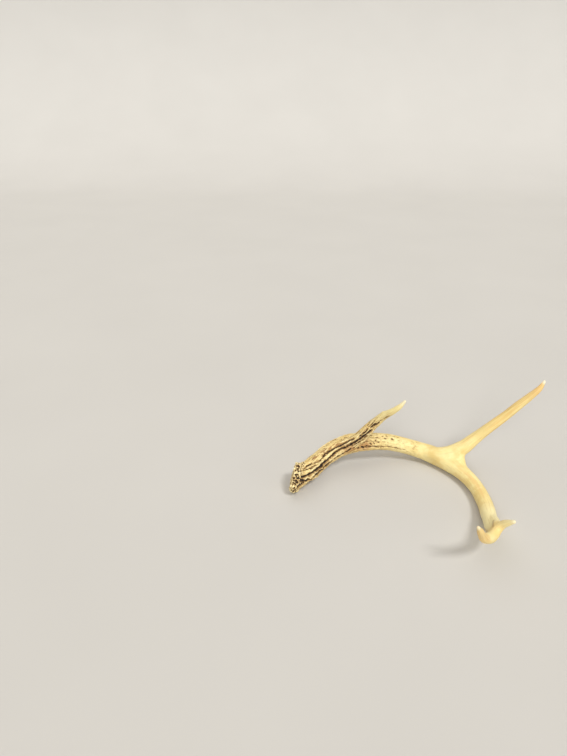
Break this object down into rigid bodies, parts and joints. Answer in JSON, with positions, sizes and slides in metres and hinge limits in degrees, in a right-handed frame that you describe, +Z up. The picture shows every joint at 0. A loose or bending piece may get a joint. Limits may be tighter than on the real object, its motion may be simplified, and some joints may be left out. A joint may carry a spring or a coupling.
{
  "type": "deer antler",
  "caption": "Shed deer antler with a knobbly burr, a ridged and curving main beam with a curled tip, and tines that stand up from it.",
  "frame": {"origin": "under the middle of the antler's bounding box, on the surface it lies on", "axes": "+Z up, +X from the burr towards the second tine's tip, and the beam's curled tip towards -Y"},
  "size_m": [0.3736, 0.2739, 0.1651],
  "materials": {
    "bark": "ridged antler surface, tan with dark brown grooves, matt",
    "bone": "smooth cream antler bone with faint grain, satin",
    "polished": "rubbed yellow-tan antler bone with pale tips, soft sheen"
  },
  "bodies": {
    "root": {"lower_beam": "bark", "brow_tine": "bark", "middle_beam": "bone", "second_tine": "polished", "upper_beam": "bone", "third_tine": "polished", "beam_tip": "polished"}
  },
  "joints": []
}
